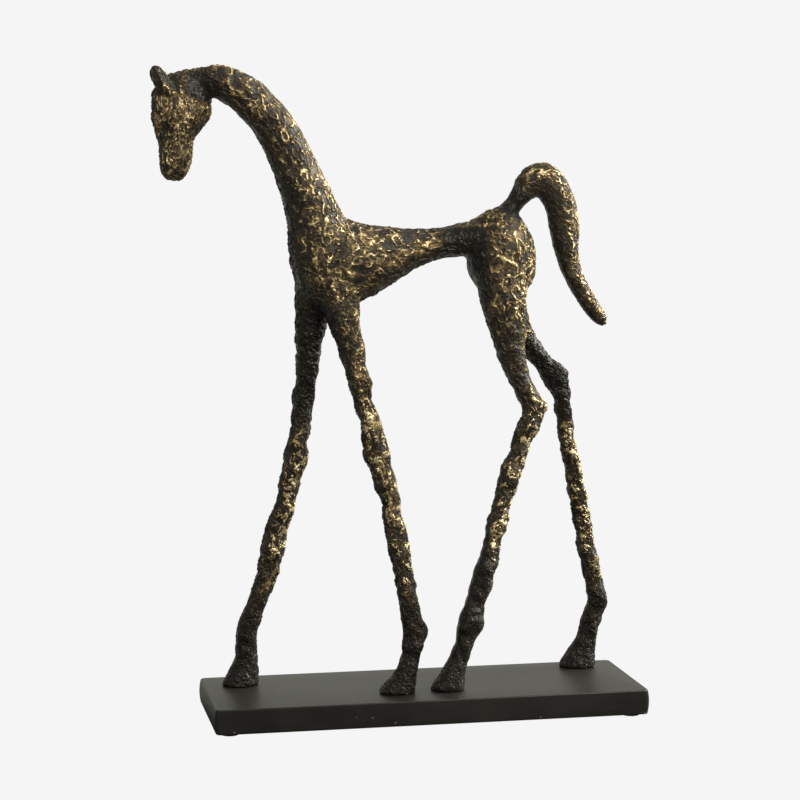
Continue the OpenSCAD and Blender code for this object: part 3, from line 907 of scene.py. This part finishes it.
def close_end(bm, outline, dents, centre, inward, axis, radius, depth, flat):
    """Flat end inside an outline, with a bore along the axis; both flagged flat."""
    count = BORE_CORNERS
    side = axis.orthogonal().normalized()
    other = axis.cross(side)
    turned_out = axis.dot(inward) < 0
    deeper = -axis if turned_out else axis
    rim, deep = [], []
    for i in range(count):
        turn = math.tau * i / count
        out = (side * math.cos(turn) + other * math.sin(turn)) * radius
        rim.append(bm.verts.new(centre + out - deeper * (out.dot(inward) / deeper.dot(inward))))
        deep.append(bm.verts.new(centre + out + deeper * depth))
    turns = np.unwrap([math.atan2((v.co - centre).dot(other), (v.co - centre).dot(side))
                       for v in outline])
    if turns[-1] < turns[0]:
        outline.reverse()
        turns = turns[::-1]
    # start beside the first rim corner, then keep the turn from going back
    first = int(np.argmin(np.abs(np.mod(turns + math.pi, math.tau) - math.pi)))
    outline = outline[first:] + outline[:first]
    turns = np.r_[turns[first:], turns[:first] + math.tau]
    turns = np.maximum.accumulate(turns - round(float(turns[0]) / math.tau) * math.tau)
    turns = np.r_[turns, max(turns[-1], turns[0] + math.tau)]
    cover = []
    i = j = 0
    while i < len(outline) or j < count:
        here = outline[i % len(outline)]
        if j == count or (i < len(outline) and turns[i + 1] <= math.tau * (j + 1) / count):
            corners = [here, outline[(i + 1) % len(outline)], rim[j % count]]
            i += 1
        else:
            corners = [here, rim[(j + 1) % count], rim[j]]
            j += 1
        cover.append(bm.faces.new(corners if turned_out else corners[::-1]))
    lids = [bm.faces.new(run) for run in dents if len(run) > 2]
    bore = [bm.faces.new((rim[k - 1], rim[k], deep[k], deep[k - 1])) for k in range(count)]
    floor = bm.faces.new(deep)
    for face in cover + lids + bore + [floor]:
        face[flat] = 1


def islands(count, pairs):
    """Same number for all points that the pairs join."""
    label = np.arange(count)
    while True:
        low = np.minimum(label[pairs[:, 0]], label[pairs[:, 1]])
        new = label.copy()
        np.minimum.at(new, label[pairs[:, 0]], low)
        np.minimum.at(new, label[pairs[:, 1]], low)
        while not np.array_equal(new, new[new]):
            new = new[new]
        if np.array_equal(new, label):
            return label
        label = new


def cut_apart(skin, joints):
    """Skin cut flat at each joint and at the soles, each end closed round its bore."""
    bm = bmesh.new()
    bm.from_mesh(skin)
    bm.faces.ensure_lookup_table()
    points = points_of(skin)
    sizes, corners = corners_of(skin)
    middles = np.add.reduceat(points[corners], np.r_[0, np.cumsum(sizes)[:-1]]) / sizes[:, None]
    cuts = [(j.centre, j.along, j.reach, j) for j in joints]
    sole = Vector((0, 0, 1))
    cuts += [(c + sole * 0.03 * MM, sole, 20 * MM, None) for c in hoof_centres()]
    bands = []
    for centre, along, reach, joint in cuts:
        off = (middles - np.array(centre)) @ np.array(along)
        away = np.linalg.norm(middles - np.array(centre), axis=1)
        near = (np.abs(off) < 1.6 * MM) & (away < reach)
        bands.append([bm.faces[i] for i in np.nonzero(near)[0]])
    seams = []
    for (centre, along, reach, joint), faces in zip(cuts, bands):
        geom = dict.fromkeys(faces)
        for face in faces:
            geom.update(dict.fromkeys(face.edges))
            geom.update(dict.fromkeys(face.verts))
        made = bmesh.ops.bisect_plane(bm, geom=list(geom), dist=5e-6, plane_co=centre,
                                      plane_no=along, clear_inner=joint is None)
        for item in made["geom_cut"]:
            if isinstance(item, bmesh.types.BMVert):
                item.co -= along * (item.co - centre).dot(along)
        if joint:
            seams += [e for e in made["geom_cut"] if isinstance(e, bmesh.types.BMEdge)]
    bm.normal_update()
    shade = bm.verts.layers.float_vector.new("whole_normal")
    flat = bm.faces.layers.int.new("flat")
    for vert in bm.verts:
        vert[shade] = vert.normal
    bmesh.ops.split_edges(bm, edges=seams)
    runs = closed_runs([e for e in bm.edges if e.is_boundary])
    for centre, along, reach, joint in cuts:
        ends = {1: [], -1: []}
        for run, around in runs:
            middle = sum((v.co for v in run), Vector()) / len(run)
            if (middle - centre).length > reach or any(
                    abs((v.co - centre).dot(along)) > 1e-6 for v in run):
                continue
            depth = sum((e.link_faces[0].calc_center_median() - centre).dot(along) for e in around)
            ends[1 if depth > 0 else -1].append(run)
        for way, (outline, *dents) in ends.items() if joint else [(1, ends[1])]:
            if joint:
                axis, radius, depth = joint.pin_axis, joint.pin_radius, joint.pin_half
            else:
                axis, radius, depth = along, SCREW_RADIUS, SCREW_TIP - PLINTH_TOP
            close_end(bm, outline, dents, centre, along * way, axis, radius + BORE_GAP,
                      depth + BORE_END_GAP, flat)
    bmesh.ops.delete(bm, geom=[v for v in bm.verts if not v.link_faces], context="VERTS")
    bmesh.ops.recalc_face_normals(bm, faces=bm.faces)
    whole = bpy.data.meshes.new("cut_castings")
    bm.to_mesh(whole)
    bm.free()
    return whole


FIELDS = ("rubbed_and_lit", "rusty", "relief", "blotchy")


def separate_castings(whole):
    """Mesh of each casting out of the cut skin, shaded as one surface with its neighbours."""
    points = points_of(whole)
    sizes, corners = corners_of(whole)
    layers = whole.attributes
    face_normals = read(whole.polygon_normals, "vector", 3)
    flat = read(layers["flat"].data, "value", kind=np.int32)
    fields = {name: read(layers[name].data, "value") for name in FIELDS}
    fields["grain_place"] = read(layers["grain_place"].data, "vector", 3)
    shade = read(layers["whole_normal"].data, "vector", 3)
    label = islands(len(points), read(whole.edges, "vertices", 2, np.int32))
    starts = np.r_[0, np.cumsum(sizes)[:-1]]
    face_label = label[corners[starts]]
    loop_face = np.repeat(np.arange(len(sizes)), sizes)
    meshes = {}
    for island in np.unique(label):
        inside = np.nonzero(label == island)[0]
        if len(inside) < FEWEST_POINTS:
            continue
        votes = nearest_castings(points[inside[::max(1, len(inside) // 400)]])
        node = CASTINGS[np.bincount(votes).argmax()]
        if node in meshes:
            raise ValueError("two islands for " + node)
        renumber = np.full(len(points), -1)
        renumber[inside] = np.arange(len(inside))
        faces = face_label == island
        loops = faces[loop_face]
        mesh = bpy.data.meshes.new(node)
        mesh.vertices.add(len(inside))
        mesh.vertices.foreach_set("co", points[inside].astype(np.float32).ravel())
        mesh.loops.add(int(loops.sum()))
        mesh.loops.foreach_set("vertex_index", renumber[corners[loops]].astype(np.int32))
        mesh.polygons.add(int(faces.sum()))
        mesh.polygons.foreach_set(
            "loop_start", np.r_[0, np.cumsum(sizes[faces])[:-1]].astype(np.int32))
        mesh.update(calc_edges=True)
        mesh.validate()
        mesh.polygons.foreach_set("use_smooth", np.ones(int(faces.sum()), bool))
        normal = shade[corners[loops]]
        plane = flat[loop_face[loops]] > 0
        normal[plane] = face_normals[loop_face[loops]][plane]
        mesh.normals_split_custom_set(normal.tolist())
        for name, values in fields.items():
            store(mesh, name, values[inside])
        meshes[node] = mesh
    return meshes


# ---------------------------------------------------------------- plinth and hardware

def turned(bm, profile_points, segments, closed=False):
    """Surface of revolution about Z through (radius, z) points, listed from bottom to top."""
    rings = []
    for radius, z in profile_points:
        if radius == 0:
            rings.append([bm.verts.new((0, 0, z))] * segments)
            continue
        rings.append([bm.verts.new((radius * math.cos(math.tau * i / segments),
                                    radius * math.sin(math.tau * i / segments), z))
                      for i in range(segments)])
    for low, high in zip(rings, rings[1:] + (rings[:1] if closed else [])):
        for i in range(segments):
            j = (i + 1) % segments
            corner = []
            for vert in (low[i], low[j], high[j], high[i]):
                if vert not in corner:
                    corner.append(vert)
            if len(corner) > 2:
                bm.faces.new(corner)


def bridged(bm, rows):
    """Faces between the rows of vertices, and over the first and the last row."""
    for low, high in zip(rows, rows[1:]):
        for i in range(len(low)):
            j = (i + 1) % len(low)
            bm.faces.new((low[i], low[j], high[j], high[i]))
    bm.faces.new(rows[0])
    bm.faces.new(rows[-1])


def finished(bm, name, sharp=35):
    """Mesh with outward faces, smooth but for its sharp edges."""
    bmesh.ops.recalc_face_normals(bm, faces=bm.faces)
    mesh = bpy.data.meshes.new(name)
    bm.to_mesh(mesh)
    bm.free()
    mesh.polygons.foreach_set("use_smooth", [True] * len(mesh.polygons))
    mesh.set_sharp_from_angle(angle=math.radians(sharp))
    return mesh


def pad_mesh():
    """Round foot pad, softly rounded, slightly dished underneath."""
    low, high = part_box("pad_front_left")
    radius, height = (high.x - low.x) / 2, high.z - low.z
    bm = bmesh.new()
    under = [(0, 0.12 * MM), (radius * 0.55, 0.10 * MM), (radius * 0.72, 0.0),
             (radius - 0.6 * MM, 0.0)]
    top = [(radius, height - 0.2 * MM), (radius - 0.2 * MM, height), (0, height)]
    side = [(radius - 0.6 * MM + 0.6 * MM * math.sin(a), 0.6 * MM - 0.6 * MM * math.cos(a))
            for a in (math.pi / 10 * i for i in range(1, 6))]
    turned(bm, under + side + top, ROUND)
    return finished(bm, "pad")


def washer_mesh():
    """Flat washer with broken edges, its underside at z = 0."""
    low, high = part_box("washer_foreleg_left")
    outer, inner, height = (high.x - low.x) / 2, SCREW_RADIUS + SHANK_GAP, high.z - low.z
    edge = 0.15 * MM
    bm = bmesh.new()
    turned(bm, [(inner + edge, 0), (outer - edge, 0), (outer, edge), (outer, height - edge),
                (outer - edge, height), (inner + edge, height), (inner, height - edge),
                (inner, edge)], ROUND, closed=True)
    return finished(bm, "washer", 25)


def screw_mesh():
    """Socket-head screw standing on its head: knurled head, six-sided socket, rolled thread."""
    low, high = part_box("screw_foreleg_left")
    head_radius = (high.x - low.x) / 2
    head_height, length = 5 * MM, high.z - low.z
    across, socket = 4 * MM, 2.75 * MM
    bm = bmesh.new()
    # head and thread in one skin, counted round in steps that suit both
    segments = 96
    rows = []
    flat_radius = head_radius - 0.5 * MM

    def ring(radius, z):
        """Adds a row; radius and height are numbers, or change with the angle."""
        row = []
        for i in range(segments):
            a = math.tau * i / segments
            r, h = (v(a) if callable(v) else v for v in (radius, z))
            row.append(bm.verts.new((r * math.cos(a), r * math.sin(a), h)))
        rows.append(row)

    def hexagon(a):
        return across / 2 / math.cos((a + math.pi / 6) % (math.pi / 3) - math.pi / 6)

    def knurl(a):
        return head_radius - 0.12 * MM * (0.5 + 0.5 * math.cos(a * 32))

    for radius, z in (
            (lambda a: hexagon(a) * 0.98, socket), (hexagon, socket - 0.1 * MM),
            (hexagon, 0.25 * MM), (lambda a: hexagon(a) + 0.22 * MM, 0.0), (flat_radius, 0.0),
            (head_radius - 0.2 * MM, 0.22 * MM), (knurl, 0.6 * MM), (knurl, head_height - 0.5 * MM),
            (head_radius - 0.15 * MM, head_height - 0.2 * MM),
            (head_radius - 0.35 * MM, head_height), (SCREW_RADIUS + 0.2 * MM, head_height),
            (SCREW_RADIUS, head_height + 0.2 * MM)):
        ring(radius, z)
    pitch, start = 0.8 * MM, head_height + 9 * MM
    z = start
    while z < length - 1.0 * MM:
        cut = 0.42 * MM * min(1.0, (z - start) / (1.2 * MM))
        ring(lambda a: SCREW_RADIUS - cut * (
            1 - abs(2 * ((z / pitch - a / math.tau) % 1.0) - 1)), z)
        z += pitch / 6
    ring(SCREW_RADIUS - 0.5 * MM, length - 0.4 * MM)
    ring(SCREW_RADIUS - 0.9 * MM, length)
    bridged(bm, rows)
    return finished(bm, "screw", 40)


def repeated(unit_mesh, nodes, material, name):
    """One plain mesh of the unit mesh set at the foot of each CAD node."""
    tree, g, entry = shape_tree("set_" + name, [("Unit", "NodeSocketObject")])
    info = g.add("GeometryNodeObjectInfo", {"Object": entry.outputs["Unit"]})
    info.transform_space = "ORIGINAL"
    on_places = g.add("GeometryNodeInstanceOnPoints", {
        "Points": g.add("GeometryNodeMeshToPoints", {"Mesh": entry.outputs["Geometry"]}).outputs[0],
        "Instance": info.outputs["Geometry"]})
    finish_tree(g, on_places.outputs[0], material)
    unit = placed("unit", unit_mesh)
    spots = bpy.data.meshes.new("spots")
    spots.from_pydata([foot_of(node) for node in nodes], [], [])
    made = grown(spots, tree, {"Unit": unit})
    bpy.data.objects.remove(unit)
    return made


def plinth_mesh():
    """Slab with bulging ends, round corners, soft edges and stepped screw holes."""
    low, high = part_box("plinth")
    half_l, half_w = (high.x - low.x) / 2, (high.y - low.y) / 2
    middle = (low + high) / 2
    thick = high.z - low.z
    s = bpy.context.scene.statue_plinth
    corner, bulge, edge = 4 * MM, 1.2 * MM, s.edge_radius
    bm = bmesh.new()
    # (height above the underside, how far the sides stand in)
    heights = [(edge * (1 - math.sin(t)), edge * (1 - math.cos(t))) for t in (
        math.pi / 2 * (6 - i) / 6 for i in range(7))]
    heights += [(edge + (thick - 2 * edge) * i / 10, 0.0) for i in range(1, 10)]
    heights += [(thick - h, inset) for h, inset in reversed(heights[:7])]
    rings = []
    for height, inset in heights:
        t = 2 * height / thick - 1
        end = half_l - bulge * t * t - inset
        side = half_w - inset
        radius = corner - inset
        ring = []
        for quarter, (sx, sy) in enumerate(((1, 1), (-1, 1), (-1, -1), (1, -1))):
            for i in range(13):
                a = math.pi / 2 * (quarter + i / 12)
                ring.append(bm.verts.new((
                    middle.x + sx * (end - radius) + radius * math.cos(a),
                    middle.y + sy * (side - radius) + radius * math.sin(a), low.z + height)))
        rings.append(ring)
    bridged(bm, rings)
    slab = placed("slab", finished(bm, "slab"))
    washer_low, washer_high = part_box("washer_foreleg_left")
    head_radius, depth = (washer_high.x - washer_low.x) / 2 + HEAD_GAP, washer_high.z
    shank_radius = SCREW_RADIUS + SHANK_GAP
    bm = bmesh.new()
    for centre in hoof_centres():
        start = len(bm.verts)
        turned(bm, [(0, low.z - MM), (head_radius + 0.3 * MM, low.z - MM),
                    (head_radius + 0.3 * MM, low.z - 0.001 * MM),
                    (head_radius, low.z + 0.3 * MM), (head_radius, depth), (shank_radius, depth),
                    (shank_radius, high.z + MM), (0, high.z + MM)], ROUND)
        bm.verts.ensure_lookup_table()
        for vert in bm.verts[start:]:
            vert.co.x += centre.x
            vert.co.y += centre.y
    drill = placed("drill", finished(bm, "drill"))
    cutter = slab.modifiers.new("holes", "BOOLEAN")
    cutter.operation = "DIFFERENCE"
    cutter.solver = "EXACT"
    cutter.object = drill
    mesh = taken_mesh(slab)
    bpy.data.objects.remove(drill)
    mesh.polygons.foreach_set("use_smooth", [True] * len(mesh.polygons))
    mesh.set_sharp_from_angle(angle=math.radians(35))
    return mesh


# ---------------------------------------------------------------- operators

class MakeCastings(bpy.types.Operator):
    """Make the nine patinated castings of the horse"""

    bl_idname = "statue.make_castings"
    bl_label = "Castings"

    def execute(self, context):
        joints = [Joint(name) for name in DOWELS]
        material = bronze_material()
        skin = make_skin_mesh(material, joints)
        pieces = separate_castings(cut_apart(skin, joints))
        for node in CASTINGS:
            mesh = pieces[node]
            mesh.materials.append(material)
            show(node + "_casting", mesh, [node])
        return {"FINISHED"}


class MakeDowels(bpy.types.Operator):
    """Give the dowel pins inside the castings their turned steel"""

    bl_idname = "statue.make_dowels"
    bl_label = "Dowels"

    def execute(self, context):
        steel = steel_material("dowel_turned_steel", (0.56, 0.55, 0.53), (0.42, 0.41, 0.40), 0.26)
        for name in DOWELS:
            for slot in NODES["dowel_" + name].material_slots:
                slot.link = "OBJECT"
                slot.material = steel
        return {"FINISHED"}


class MakePlinth(bpy.types.Operator):
    """Make the black plinth with its screw holes"""

    bl_idname = "statue.make_plinth"
    bl_label = "Plinth"

    def execute(self, context):
        mesh = plinth_mesh()
        mesh.materials.clear()
        mesh.materials.append(plinth_material())
        show("plinth_slab", mesh, ["plinth"])
        return {"FINISHED"}


class MakePads(bpy.types.Operator):
    """Make the four foot pads under the plinth"""

    bl_idname = "statue.make_pads"
    bl_label = "Foot pads"

    def execute(self, context):
        nodes = ["pad_" + corner for corner in PADS]
        mesh = repeated(pad_mesh(), nodes, rubber_material(), "pads")
        show("foot_pads", mesh, nodes)
        return {"FINISHED"}


class MakeScrews(bpy.types.Operator):
    """Make the four hoof screws and their washers"""

    bl_idname = "statue.make_screws"
    bl_label = "Hoof screws and washers"

    def execute(self, context):
        for kind, unit, slot, looks in (
                ("screw", screw_mesh(), "screw_steel",
                 ((0.10, 0.10, 0.105), (0.055, 0.055, 0.06), 0.30)),
                ("washer", washer_mesh(), "washer_steel",
                 ((0.62, 0.62, 0.61), (0.46, 0.46, 0.45), 0.28))):
            nodes = [kind + "_" + leg for leg in LEGS]
            steel = steel_material(kind + "_steel", *looks)
            show("hoof_" + kind + "s", repeated(unit, nodes, steel, kind + "s"), nodes)
        return {"FINISHED"}


class MakeStage(bpy.types.Operator):
    """Make the floor, the lights and the camera"""

    bl_idname = "statue.make_stage"
    bl_label = "Stage"

    def execute(self, context):
        s = context.scene.statue_stage
        make_floor()
        make_world()
        make_lights()
        make_camera(s)
        context.scene.view_settings.view_transform = "Standard"
        return {"FINISHED"}


PAPER = 0.913


def make_floor():
    mesh = bpy.data.meshes.new("floor")
    bm = bmesh.new()
    bmesh.ops.create_circle(bm, cap_ends=True, radius=30.0, segments=96)
    bm.to_mesh(mesh)
    bm.free()
    floor = placed("floor", mesh)
    material, g = new_material("floor_paper")
    rays = g.add("ShaderNodeLightPath")
    seen = g.add("ShaderNodeEmission", {"Color": (1, 1, 1, 1), "Strength": PAPER})
    # towards the bright side of the room the paper gives back more light
    across = g.add("ShaderNodeSeparateXYZ", {0: g.add("ShaderNodeNewGeometry").outputs["Position"]})
    lit = g.add("ShaderNodeEmission", {
        "Color": (1.0, 0.99, 0.90, 1), "Strength": g.step(across.outputs["Y"], -0.05, 0.42, 0.0, 0.55)})
    dull = g.add("ShaderNodeBsdfDiffuse", {"Color": (0.12, 0.12, 0.11, 1)})
    felt = g.add("ShaderNodeAddShader", {0: lit.outputs[0], 1: dull.outputs[0]})
    both = g.add("ShaderNodeMixShader", {
        0: rays.outputs["Is Camera Ray"], 1: felt.outputs[0], 2: seen.outputs[0]})
    g.add("ShaderNodeOutputMaterial", {"Surface": both.outputs[0]})
    mesh.materials.append(material)


def make_world():
    """White backdrop, and a room that is bright towards the window, right and behind."""
    world = bpy.data.worlds.new("studio")
    bpy.context.scene.world = world
    world.use_nodes = True
    g = Graph(world.node_tree)
    world.node_tree.nodes.clear()
    rays = g.add("ShaderNodeLightPath")
    window = Vector((0.62, 0.70, 0.35)).normalized()
    towards = g.add("ShaderNodeVectorMath", {0: g.add("ShaderNodeTexCoord").outputs["Generated"],
                                             1: window}, operation="DOT_PRODUCT").outputs["Value"]
    glow = g.step(towards, -0.6, 1.0, 0.14, 0.64)
    backdrop = g.add("ShaderNodeBackground", {"Color": (1, 1, 1, 1), "Strength": PAPER})
    room = g.add("ShaderNodeBackground", {"Color": (1.0, 0.99, 0.88, 1), "Strength": glow})
    both = g.add("ShaderNodeMixShader", {0: rays.outputs["Is Camera Ray"], 1: room.outputs[0],
                                         2: backdrop.outputs[0]})
    g.add("ShaderNodeOutputWorld", {"Surface": both.outputs[0]})


def soft_box(name, place, aim, size, power, colour=(1, 1, 1)):
    light = bpy.data.lights.new(name, "AREA")
    light.shape = "RECTANGLE"
    light.size, light.size_y = size
    light.energy = power
    light.color = colour
    lamp = placed(name, light)
    lamp.location = place
    lamp.rotation_euler = (Vector(aim) - Vector(place)).to_track_quat("-Z", "Y").to_euler()


def make_lights():
    aim = (0, 0, 0.28)
    soft_box("window", (1.7, 0.25, 1.1), aim, (0.7, 1.1), 44, (1.0, 0.99, 0.94))
    soft_box("key", (1.0, -1.6, 1.3), aim, (0.6, 0.6), 24, (1.0, 0.95, 0.86))
    soft_box("fill", (-1.3, -1.6, 0.9), aim, (1.2, 1.2), 6, (1.0, 0.98, 0.95))


def make_camera(s):
    a, e = s.azimuth, s.elevation
    back = Vector((math.sin(a) * math.cos(e), -math.cos(a) * math.cos(e), math.sin(e)))
    right = Vector((math.cos(a), math.sin(a), 0))
    up = back.cross(right)
    data = bpy.data.cameras.new("camera")
    data.lens = s.lens
    data.sensor_width = 36
    camera = placed("camera", data)
    turn = Matrix((right, up, back)).transposed().to_4x4()
    camera.matrix_world = Matrix.Translation(Vector(s.aim) + back * s.distance) @ turn
    bpy.context.scene.camera = camera


class StatuePanel(bpy.types.Panel):
    """Buttons and sizes of the statue"""

    bl_label = "Statue"
    bl_idname = "VIEW3D_PT_statue"
    bl_space_type = "VIEW_3D"
    bl_region_type = "UI"
    bl_category = "Statue"

    def draw(self, context):
        for operator in MAKERS:
            self.layout.operator(operator.bl_idname)
        for group in (context.scene.statue_skin, context.scene.statue_bronze,
                      context.scene.statue_plinth, context.scene.statue_stage):
            for name in group.__annotations__:
                self.layout.prop(group, name)


GROUPS = {"statue_skin": StatueSkin, "statue_bronze": StatueBronze,
          "statue_plinth": StatuePlinth, "statue_stage": StatueStage}
MAKERS = (MakeCastings, MakeDowels, MakePlinth, MakePads, MakeScrews, MakeStage)


def register():
    for group in GROUPS.values():
        bpy.utils.register_class(group)
    for operator in MAKERS:
        bpy.utils.register_class(operator)
    bpy.utils.register_class(StatuePanel)
    for name, group in GROUPS.items():
        setattr(bpy.types.Scene, name, bpy.props.PointerProperty(type=group))


def unregister():
    for name in GROUPS:
        delattr(bpy.types.Scene, name)
    bpy.utils.unregister_class(StatuePanel)
    for operator in reversed(MAKERS):
        bpy.utils.unregister_class(operator)
    for group in reversed(list(GROUPS.values())):
        bpy.utils.unregister_class(group)


def main():
    register()
    bpy.ops.statue.make_castings()
    bpy.ops.statue.make_dowels()
    bpy.ops.statue.make_plinth()
    bpy.ops.statue.make_pads()
    bpy.ops.statue.make_screws()
    bpy.ops.statue.make_stage()
    bpy.context.view_layer.update()


if __name__ == "__main__":
    main()
